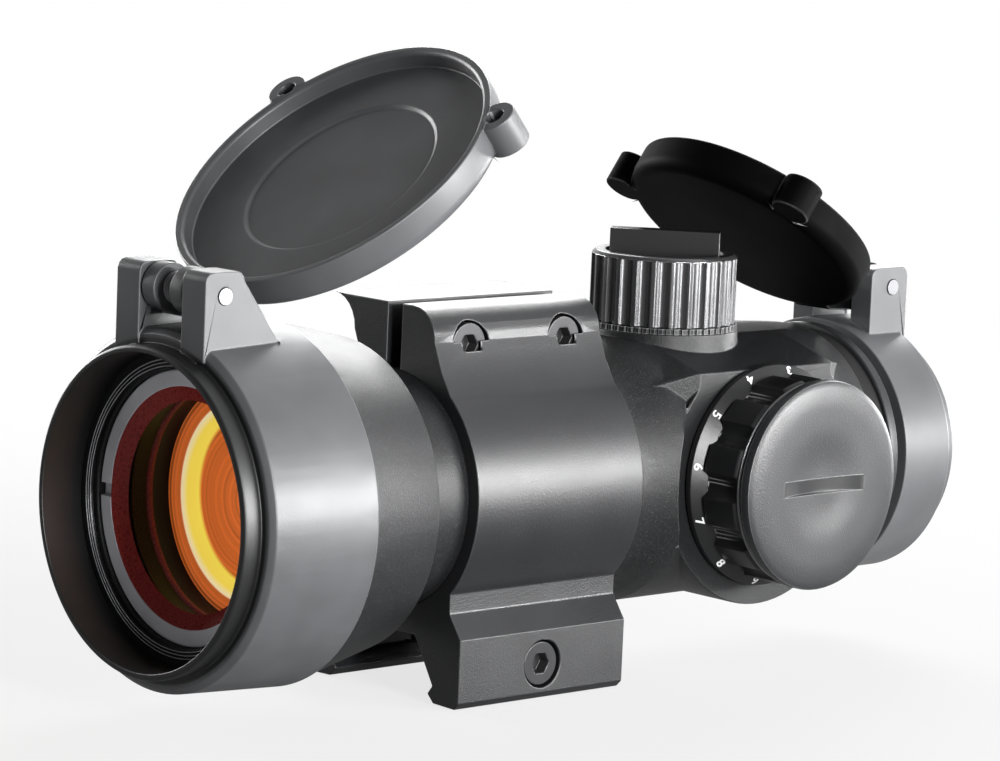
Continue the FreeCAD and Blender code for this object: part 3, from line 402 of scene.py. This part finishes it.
def soften(node, width):
    """Round a CAD node's sharp edges by this width, in millimetres."""
    piece = NODES[node]
    piece.modifiers.new("Smooth faces", "NODES").node_group = smooth_shading()
    weld = piece.modifiers.new("Join", "WELD")
    weld.merge_threshold = 0.002 * MM
    flats = piece.modifiers.new("Whole flats", "DECIMATE")
    flats.decimate_type = "DISSOLVE"
    flats.angle_limit = math.radians(0.6)
    bevel = piece.modifiers.new("Rounded edges", "BEVEL")
    bevel.width = width * MM
    bevel.segments = 2
    bevel.limit_method = "ANGLE"
    bevel.angle_limit = math.radians(32)
    bevel.use_clamp_overlap = False
    bevel.miter_outer = "MITER_ARC"
    normals = piece.modifiers.new("Even shading", "WEIGHTED_NORMAL")
    normals.keep_sharp = False


def box_reach(node):
    """Half the height of a CAD node's box, which is the radius of a round piece."""
    low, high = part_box(node)
    return (high.z - low.z) / 2


def shares(count):
    """Even steps from 0 to 1."""
    return [step / count for step in range(count + 1)]


def offsets(along, radius, steps):
    """Profile points from pairs of millimetres taken off a place along the axis and off a radius."""
    return [(along - ahead * MM, radius - inset * MM) for ahead, inset in steps]


def turned(context, name, body, profile, steps=96, axis="X", centre=TUBE_CENTRE):
    """A closed ring turned from (along, radius) points; it rides on a body."""
    shape = bmesh.new()
    rings = []
    for step in range(steps):
        angle = 2 * math.pi * step / steps
        ring = []
        for along, radius in profile:
            out = radius * math.cos(angle), radius * math.sin(angle)
            spot = (along, *out) if axis == "X" else (out[0], along, out[1])
            ring.append(shape.verts.new(centre + Vector(spot)))
        rings.append(ring)
    for first, second in zip(rings, rings[1:] + rings[:1]):
        for i in range(len(profile)):
            j = (i + 1) % len(profile)
            shape.faces.new((first[i], first[j], second[j], second[i]))
    bmesh.ops.remove_doubles(shape, verts=shape.verts, dist=1e-6)
    bmesh.ops.recalc_face_normals(shape, faces=shape.faces)
    for face in shape.faces:
        face.smooth = True
    mesh = bpy.data.meshes.new(name)
    shape.to_mesh(mesh)
    shape.free()
    mesh.set_sharp_from_angle(angle=CREASE)
    piece = bpy.data.objects.new(name, mesh)
    context.collection.objects.link(piece)
    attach(piece, body)
    return piece


def coin(spot, radius, width, steps=160):
    """The mesh of a flat disc that stands across the Z axis."""
    shape = bmesh.new()
    turns = [2 * math.pi * step / steps for step in range(steps)]
    rim = [Vector((radius * math.cos(turn), radius * math.sin(turn), 0)) for turn in turns]
    half = Vector((0, 0, width / 2))
    sides = [[shape.verts.new(spot + out + side * half) for out in rim] for side in (-1, 1)]
    shape.faces.new(sides[0])
    shape.faces.new(sides[1])
    for i in range(steps):
        shape.faces.new((sides[0][i - 1], sides[0][i], sides[1][i], sides[1][i - 1]))
    bmesh.ops.recalc_face_normals(shape, faces=shape.faces)
    mesh = bpy.data.meshes.new("coin")
    shape.to_mesh(mesh)
    shape.free()
    return mesh


def carve(piece, cutter_mesh):
    """Cut a closed mesh out of a piece, for good; the cut faces keep the cutter's materials."""
    cutter = bpy.data.objects.new("cutter", cutter_mesh)
    bpy.context.collection.objects.link(cutter)
    cut = piece.modifiers.new("Cut", "BOOLEAN")
    cut.object = cutter
    cut.solver = "EXACT"
    cut.material_mode = "TRANSFER"
    bpy.context.view_layer.update()
    result = bpy.data.meshes.new_from_object(piece.evaluated_get(bpy.context.evaluated_depsgraph_get()))
    piece.modifiers.remove(cut)
    bpy.data.objects.remove(cutter)
    bpy.data.meshes.remove(cutter_mesh)
    result.name = piece.name
    piece.data = result
    result.set_sharp_from_angle(angle=CREASE)


# ---------------------------------------------------------------- operators

class SIGHT_OT_finishes(bpy.types.Operator):
    """Give every CAD node the finish of its material slot"""
    bl_idname = "sight.finishes"
    bl_label = "Finishes"

    def execute(self, context):
        for node, slot in SLOTS.items():
            if slot in FINISHES:
                dress(node, finish_for(slot))
        return {"FINISHED"}


class SIGHT_OT_covers(bpy.types.Operator):
    """Finish the collars and lids of the flip-up covers"""
    bl_idname = "sight.covers"
    bl_label = "Flip-up covers"

    def execute(self, context):
        for node in ("front_collar", "rear_collar", "front_lid", "rear_lid"):
            soften(node, 0.18)
        # The front collar's finish paints shade inside its bore.
        dress("front_collar", finish_for("collar_plastic"))
        # The rear lid's near-black finish is painted shade.
        dress("rear_lid", finish_for("lid_plastic"))
        return {"FINISHED"}


class SIGHT_OT_housing(bpy.types.Operator):
    """Finish the tube, the ring clamp and its screws"""
    bl_idname = "sight.housing"
    bl_label = "Housing and clamp"

    def execute(self, context):
        soften("main_housing", 0.2)
        soften("ring_clamp", 0.18)
        soften("rail_jaw", 0.18)
        for node in ("clamp_screw_1", "clamp_screw_2", "cross_bolt"):
            soften(node, 0.12)
        return {"FINISHED"}


class SIGHT_OT_turrets(bpy.types.Operator):
    """Finish the fluted turret caps, bright round a dark middle"""
    bl_idname = "sight.turrets"
    bl_label = "Turret caps"

    def execute(self, context):
        for cap, along in (("elevation_cap", "Z"), ("windage_cap", "Y")):
            soften(cap, 0.1)
            dress(cap, finish_for("turret_metal", cap, middle(cap), along))
        return {"FINISHED"}


class SIGHT_OT_dial(bpy.types.Operator):
    """Finish the brightness dial, make its coin cap and print its numbers"""
    bl_idname = "sight.dial"
    bl_label = "Brightness dial"

    def execute(self, context):
        soften("dial", 0.12)
        self.coin_cap(context, context.scene.sight_coin_cap)
        self.trim(context)
        self.numbers(context, context.scene.sight_numerals)
        return {"FINISHED"}

    def cap_profile(self, settings, reach, face, rim):
        """Half outline of the cap: back edge, rounded front edge, domed border and dished middle."""
        profile = [(rim, settings.skirt)] + offsets(rim, reach, ((0, 0.25), (0.12, 0)))
        dome, edge, border = 0.3 * MM, 0.45 * MM, 3.2 * MM
        profile += offsets(face, reach, ((-0.75, 0), (-0.48, 0.12), (-0.3, 0.45)))
        profile += [(face + dome * (1 - share) ** 2, reach - edge - share * border) for share in shares(6)]
        dish_radius = reach - 5.7 * MM
        slope = 1.4        # the dish's floor is flat past 1 / slope of the way in
        for share in shares(8):
            dip = settings.dish * 0.5 * (1 - math.cos(math.pi * min(1.0, share * slope)))
            profile.append((face + dip, dish_radius * (1 - share)))
        return profile + [(rim, 0.0)]

    def coin_cap(self, context, settings):
        """A cap with a coin slot over a skirt, in place of the plain one."""
        low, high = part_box("battery_cap")
        face, back = low.y, high.y
        centre = middle("battery_cap") * Vector((1, 0, 1))
        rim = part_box("dial")[0].y - settings.seal_gap
        metal = finish_for("cap_metal")
        cap = turned(context, "coin_cap", "battery_cap",
                     self.cap_profile(settings, box_reach("battery_cap"), face, rim), 128, "Y", centre)
        depth = settings.slot_depth
        curve = (settings.slot_length ** 2 / 4 + depth ** 2) / (2 * depth)
        cutter = coin(centre + Vector((0, face + depth - curve, 0)), curve, settings.slot_width)
        # The slot's cut faces take the darker knob finish: painted shade inside the slot.
        cutter.materials.append(metal)
        cutter.materials.append(finish_for("knob_metal"))
        for wall in cutter.polygons:
            wall.material_index = 1
        cap.data.materials.append(metal)
        carve(cap, cutter)
        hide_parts("battery_cap")
        top, wall = rim + 0.01 * MM, settings.skirt - 1.0 * MM
        outline = [(back, wall), (back, settings.skirt), (top, settings.skirt), (top, wall)]
        skirt_ring = turned(context, "coin_cap_skirt", "battery_cap", outline, 96, "Y", centre)
        skirt_ring.data.materials.append(metal)

    def trim(self, context):
        """A thin bright ring on the dial's front, behind the cap."""
        centre = middle("battery_cap") * Vector((1, 0, 1))
        outline = ((0.02, 1.0), (0.02, 0.45), (0.14, 0.3), (0.3, 0.3), (0.42, 0.45), (0.42, 1.0))
        # This bright ring stands in for a highlight on the cap's rim.
        trim = turned(context, "dial_highlight_ring", "dial",
                      offsets(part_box("dial")[0].y, box_reach("battery_cap"), outline), 128, "Y", centre)
        trim.data.materials.append(finish_for("steel"))

    def numbers(self, context, settings):
        """Raised print on the dial's slope; the tops of the numbers point to its axis."""
        ink = Tree("numeral_ink")
        worn = ink.spread(ink.noise(ink.place(), 0.2 * MM), 0.85, 1.0)
        ink.paint(ink.mix(worn, rgba(settings.ink, 0.6), rgba(settings.ink)), 0.5)
        centre = middle("dial")
        centre.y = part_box("dial")[0].y + settings.ring_drop
        front = Vector((0, -1, 0))
        print_height = 0.03 * MM
        for number in range(settings.count):
            curve = bpy.data.curves.new(f"numeral_{number}", "FONT")
            curve.body = str(number)
            curve.size = settings.height
            curve.extrude = print_height
            curve.offset = 0.035 * MM
            curve.align_x, curve.align_y = "CENTER", "CENTER"
            curve.materials.append(ink.material)
            text = bpy.data.objects.new(f"numeral_{number}", curve)
            context.collection.objects.link(text)
            angle = settings.start - 2 * math.pi * number / settings.count
            out = Vector((math.sin(angle), 0, math.cos(angle)))
            upright = front * math.sin(settings.slope) - out * math.cos(settings.slope)
            facing = front * math.cos(settings.slope) + out * math.sin(settings.slope)
            turn = Matrix((upright.cross(facing) * settings.stretch, upright, facing)).transposed().to_4x4()
            spot = centre + out * settings.radius + facing * print_height
            text.matrix_world = Matrix.Translation(spot) @ turn
            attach(text, "dial")


class SIGHT_OT_optics(bpy.types.Operator):
    """Make the coated objective, the clear windows and the red bands between them"""
    bl_idname = "sight.optics"
    bl_label = "Glass"

    touch = 0.02 * MM        # left between a ring and what it seats on

    def execute(self, context):
        settings = context.scene.sight_glass
        self.windows()
        for node in ("objective_ring", "ocular_ring", "lock_ring"):
            soften(node, 0.1)
        # The objective ring's lighter finish carries painted light.
        dress("objective_ring", finish_for("lens_ring_metal"))
        dress("lock_ring", finish_for("cap_metal"))
        self.objective(context, settings)
        self.liner(context, settings)
        self.threads(context)
        self.window_rim(context, settings)
        return {"FINISHED"}

    def windows(self):
        """Clear glass, hardly bending what is seen through it."""
        clear = Tree("clear_glass")
        clear.shader.inputs["Transmission Weight"].default_value = 1.0
        clear.shader.inputs["Roughness"].default_value = 0.0
        clear.shader.inputs["IOR"].default_value = 1.08
        tint = clear.spread(clear.noise(clear.place(), 6 * MM))
        clear.put(clear.shader.inputs["Base Color"], clear.mix(tint, (0.97, 0.96, 0.96, 1), (1, 1, 1, 1)))
        for node, slot in SLOTS.items():
            if slot == "window_glass":
                dress(node, clear.material)

    def objective(self, context, settings):
        """A smooth hollow dish in place of the plain cone."""
        low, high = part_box("objective_lens")
        reach = box_reach("objective_lens")
        hollow, edge = 1.6 * MM, 0.6 * MM
        profile = [(low.x + hollow * (1 - share ** 2), (reach - edge) * share) for share in shares(24)]
        profile += [(low.x, reach), (high.x, reach), (high.x, 0.0)]
        dish = turned(context, "objective_dish", "sight", profile)
        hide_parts("objective_lens")
        dish.data.materials.append(self.coated_glass(settings, reach))

    def coated_glass(self, settings, reach):
        """Orange coating with fine rings, a bright crescent that lies aside, and a dark line at the rim."""
        coat = Tree("coated_glass")
        place = coat.place()
        from_axis = reach_from(coat, place, TUBE_CENTRE)
        rings = coat.noise(coat.add("ShaderNodeCombineXYZ", {0: from_axis}).outputs[0], 0.5 * MM, 4.0)
        base = coat.mix(coat.ramp(rings, 0.35, 0.65), rgba(settings.coating, 0.72),
                        rgba(settings.coating, 1.15))
        outer = coat.math("DIVIDE", from_axis, reach)
        # The bright sickle is a painted reflection, centred off the axis.
        aside = TUBE_CENTRE + Vector((0, -1.1, 0.35)) * MM
        inner = coat.math("DIVIDE", reach_from(coat, place, aside), reach)
        painted_reflection_band = coat.math("MULTIPLY", coat.ramp(outer, 0.86, 0.845), coat.ramp(inner, 0.70, 0.735))
        # Painted reflection colour, from the bright ring colour to near white.
        glow = coat.mix(coat.ramp(outer, 0.78, 0.86), rgba(settings.ring), (1.0, 0.88, 0.6, 1.0))
        line = coat.math("MULTIPLY", coat.ramp(outer, 0.95, 0.96), coat.ramp(outer, 0.99, 0.97))
        tone = coat.mix(line, coat.mix(painted_reflection_band, base, glow), rgba(settings.coating, 0.4))
        coat.paint(tone, 0.12)
        # Painted glow: the dish emits its own colour though it is no lamp.
        coat.put(coat.shader.inputs["Emission Color"], tone)
        coat.shader.inputs["Emission Strength"].default_value = 0.45
        return coat.material

    def liner(self, context, settings):
        """A dark liner with a red bead between the window and the dish."""
        reach = box_reach("objective_lens")
        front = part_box("objective_window")[1].x
        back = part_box("objective_lens")[0].x
        bead = front + 0.46 * (back - front)
        bead_height = 0.35
        inner = reach - 0.15 * MM
        profile = [(front + self.touch, reach - self.touch), (front + self.touch, inner)]
        profile += offsets(bead, inner, ((0.35, 0), (0.1, bead_height), (-0.3, bead_height), (-0.5, 0)))
        profile += [(back - self.touch, inner), (back - self.touch, reach - self.touch)]
        liner = turned(context, "bore_liner", "sight", profile)
        paint = Tree("liner_paint")
        place = paint.place()
        near = paint.math("ABSOLUTE", paint.math("SUBTRACT", paint.along(place), bead + 0.1 * MM))
        grain = paint.noise(place, 0.25 * MM)
        red = paint.mix(paint.spread(grain), rgba(settings.baffle, 0.5), rgba(settings.baffle, 1.6))
        black = (0.0015, 0.0012, 0.0012, 1)
        tone = paint.mix(paint.ramp(near, 0.3 * MM, 0.6 * MM), red, black)
        paint.paint(tone, paint.spread(grain, 0.3, 0.45))
        paint.shader.inputs["Specular IOR Level"].default_value = 0.15
        liner.data.materials.append(paint.material)

    def threads(self, context):
        """Fine turned ridges on the housing's end, round the objective's ring, with bright crests."""
        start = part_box("main_housing")[0].x
        inner = box_reach("objective_ring") + 0.12 * MM
        count, pitch, height, foot = 3, 0.42 * MM, 0.22 * MM, 0.06 * MM
        profile = [(start, inner)]
        for ridge in range(count):
            left = inner + ridge * pitch
            profile += [(start - foot, left + 0.02 * MM), (start - foot, left + 0.45 * pitch),
                        (start - height, left + 0.62 * pitch), (start - height, left + 0.78 * pitch)]
        profile += [(start - foot, inner + count * pitch), (start, inner + count * pitch)]
        ridges = turned(context, "end_threads", "sight", profile)
        cut = Tree("turned_threads")
        place = cut.place()
        # Crests painted bright: a painted highlight along each ridge; the valleys keep the dark metal.
        highlight_crest = cut.ramp(cut.along(place), start - height + 0.05 * MM, start - height + 0.01 * MM)
        grain = cut.noise(place, 0.25 * MM)
        bright = cut.mix(grain, (0.35, 0.35, 0.37, 1), (0.7, 0.7, 0.73, 1))
        cut.paint(cut.mix(highlight_crest, (0.006, 0.006, 0.0065, 1), bright), cut.spread(grain, 0.25, 0.4))
        ridges.data.materials.append(cut.material)

    def window_rim(self, context, settings):
        """A wine red cone inside the objective's ring."""
        low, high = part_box("objective_ring")
        bore = min((vertex.co - TUBE_CENTRE).yz.length for vertex in NODES["objective_ring"].data.vertices)
        lip, deep = 0.12 * MM, 1.8 * MM
        start, end = low.x + lip, high.x - self.touch
        rim = turned(context, "window_rim", "sight", [
            (start, bore), (start, bore - lip), (end, bore - deep), (end, bore)])
        wine = Tree("wine_rim")
        grain = wine.noise(wine.place(), 0.3 * MM)
        wine.paint(wine.mix(wine.spread(grain), rgba(settings.baffle, 1.3), rgba(settings.baffle, 2.4)),
                   wine.spread(grain, 0.25, 0.35))
        wine.shader.inputs["Specular IOR Level"].default_value = 0.2
        rim.data.materials.append(wine.material)


class SIGHT_OT_stage(bpy.types.Operator):
    """Make the floor, the lights and the camera"""
    bl_idname = "sight.stage"
    bl_label = "Stage"

    def execute(self, context):
        settings = context.scene.sight_stage
        context.scene.view_settings.view_transform = "Standard"
        target = Vector(settings.target) + TUBE_CENTRE
        self.world(context.scene)
        self.floor(context, settings)
        for box in SOFTBOXES:
            self.softbox(context, box, target)
        self.camera(context, settings, target)
        return {"FINISHED"}

    def camera(self, context, settings, target):
        camera = bpy.data.objects.new("camera", bpy.data.cameras.new("camera"))
        context.collection.objects.link(camera)
        camera.data.lens = settings.lens
        camera.data.clip_start, camera.data.clip_end = 0.01, 20
        back = direction(settings.azimuth, settings.elevation)
        right = Vector((math.cos(settings.azimuth), math.sin(settings.azimuth), 0))
        up = back.cross(right)
        tipped_right = right * math.cos(settings.roll) + up * math.sin(settings.roll)
        tipped_up = up * math.cos(settings.roll) - right * math.sin(settings.roll)
        turn = Matrix((tipped_right, tipped_up, back)).transposed().to_4x4()
        camera.matrix_world = Matrix.Translation(target + back * settings.distance) @ turn
        context.scene.camera = camera

    def softbox(self, context, box, target):
        light = bpy.data.lights.new(box.name, "AREA")
        light.shape = "RECTANGLE"
        light.size, light.size_y = box.width, box.height
        light.energy = box.watts
        lamp = bpy.data.objects.new(box.name, light)
        context.collection.objects.link(lamp)
        back = direction(math.radians(box.azimuth), math.radians(box.elevation))
        lamp.location = target + back * box.distance
        lamp.rotation_mode = "QUATERNION"
        lamp.rotation_quaternion = (-back).to_track_quat("-Z", "Y")

    def world(self, scene):
        """Dim light from all round; the camera, glass and, behind the sight, gloss see white instead."""
        world = bpy.data.worlds.new("studio")
        scene.world = world
        world.use_nodes = True
        nodes, links = world.node_tree.nodes, world.node_tree.links
        soft = nodes["Background"]
        soft.inputs["Color"].default_value = (1, 1, 1, 1)
        soft.inputs["Strength"].default_value = 0.12
        white = nodes.new("ShaderNodeBackground")
        white.inputs["Color"].default_value = (1, 1, 1, 1)
        way = nodes.new("ShaderNodeTexCoord").outputs["Generated"]
        links.new(self.side_light(nodes, links, way, -0.2, 0.5), white.inputs["Strength"])
        links.new(self.seen(nodes, links), self.mixed(nodes, links, soft, white, nodes["World Output"]))

    def floor(self, context, settings):
        """A pale floor that fades to white, and keeps some of the sight's shadow close to it."""
        half, level = 3.0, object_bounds()[0].z - 0.2 * MM
        mesh = bpy.data.meshes.new("floor")
        corners = [(x * half, y * half, level) for x, y in ((-1, -1), (1, -1), (1, 1), (-1, 1))]
        mesh.from_pydata(corners, [], [(0, 1, 2, 3)])
        floor = bpy.data.objects.new("floor", mesh)
        context.collection.objects.link(floor)
        floor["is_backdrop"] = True
        pale = Tree("pale_floor")
        place = pale.place()
        pale.paint(pale.mix(pale.noise(place, 0.3), rgba(settings.floor), rgba(settings.floor, 1.04)), 0.9)
        pale.shader.inputs["Specular IOR Level"].default_value = 0.0
        lit = self.side_light(pale.nodes, pale.links, place, -0.02, 0.25)
        glow = pale.add("ShaderNodeEmission", {"Color": (1, 1, 1, 1), "Strength": lit})
        share = self.mixed(pale.nodes, pale.links, pale.shader, glow, pale.nodes["Material Output"])
        far = pale.add("ShaderNodeVectorMath", {0: place}, operation="LENGTH").outputs["Value"]
        near, away, least = 0.08, 0.45, 0.76        # metres from the middle, and the share of white near it
        fade = pale.ramp(far, near, away, least, 1.0)
        pale.put(share, pale.math("MULTIPLY", self.seen(pale.nodes, pale.links), fade))
        mesh.materials.append(pale.material)

    def joined(self, nodes, links, first, names, operation):
        """Fold light path outputs into a value, one after another."""
        path = nodes.new("ShaderNodeLightPath")
        for name in names:
            step = nodes.new("ShaderNodeMath")
            step.operation = operation
            step.use_clamp = True
            if first is None:
                step.inputs[0].default_value = 0.0
            else:
                links.new(first, step.inputs[0])
            links.new(path.outputs[name], step.inputs[1])
            first = step.outputs[0]
        return first

    def seen(self, nodes, links):
        """1 for rays that show the background: the camera's, and those in gloss and glass."""
        rays = ("Is Camera Ray", "Is Glossy Ray", "Is Transmission Ray")
        return self.joined(nodes, links, None, rays, "ADD")

    def side_light(self, nodes, links, way, dark, light):
        """White for the camera and for glass; gloss sees a room that is dark ahead of the sight."""
        ways = nodes.new("ShaderNodeSeparateXYZ")
        links.new(way, ways.inputs[0])
        room = nodes.new("ShaderNodeMapRange")
        room.inputs["From Min"].default_value, room.inputs["From Max"].default_value = dark, light
        room.inputs["To Min"].default_value, room.inputs["To Max"].default_value = 0.1, 1.0
        links.new(ways.outputs["X"], room.inputs["Value"])
        rays = ("Is Camera Ray", "Is Transmission Ray")
        return self.joined(nodes, links, room.outputs["Result"], rays, "MAXIMUM")

    def mixed(self, nodes, links, first, second, output):
        """Mix two shaders into an output, and return the socket for the share of the second."""
        mix = nodes.new("ShaderNodeMixShader")
        links.new(first.outputs[0], mix.inputs[1])
        links.new(second.outputs[0], mix.inputs[2])
        links.new(mix.outputs[0], output.inputs["Surface"])
        return mix.inputs[0]


def direction(azimuth, elevation):
    """The way from the sight to a point round it; azimuth 0 stands on the -Y side."""
    return Vector((math.sin(azimuth) * math.cos(elevation), -math.cos(azimuth) * math.cos(elevation),
                   math.sin(elevation)))


# ---------------------------------------------------------------- panel and registration

OPERATORS = (SIGHT_OT_finishes, SIGHT_OT_covers, SIGHT_OT_housing, SIGHT_OT_turrets, SIGHT_OT_dial,
             SIGHT_OT_optics, SIGHT_OT_stage)
GROUPS = {
    "sight_glass": GlassSettings,
    "sight_coin_cap": CoinCapSettings,
    "sight_numerals": NumeralSettings,
    "sight_stage": StageSettings,
    **{f"sight_{slot}": group for slot, group in FINISHES.items()},
}


class SIGHT_PT_panel(bpy.types.Panel):
    """Lists the pieces of the sight and their settings"""
    bl_idname = "SIGHT_PT_panel"
    bl_label = "Red dot sight"
    bl_space_type = "VIEW_3D"
    bl_region_type = "UI"
    bl_category = "Sight"

    def draw(self, context):
        for operator in OPERATORS:
            self.layout.operator(operator.bl_idname)
        for key, group in GROUPS.items():
            box = self.layout.box()
            box.label(text=key.removeprefix("sight_").replace("_", " "))
            for prop in group.__annotations__:
                box.prop(getattr(context.scene, key), prop)


def register():
    for item in (*GROUPS.values(), *OPERATORS, SIGHT_PT_panel):
        bpy.utils.register_class(item)
    for key, group in GROUPS.items():
        setattr(bpy.types.Scene, key, PointerProperty(type=group))


def unregister():
    for key in GROUPS:
        delattr(bpy.types.Scene, key)
    for item in reversed((*GROUPS.values(), *OPERATORS, SIGHT_PT_panel)):
        bpy.utils.unregister_class(item)


def main():
    register()
    for operator in OPERATORS:
        getattr(bpy.ops.sight, operator.bl_idname.split(".")[1])()


if __name__ == "__main__":
    main()
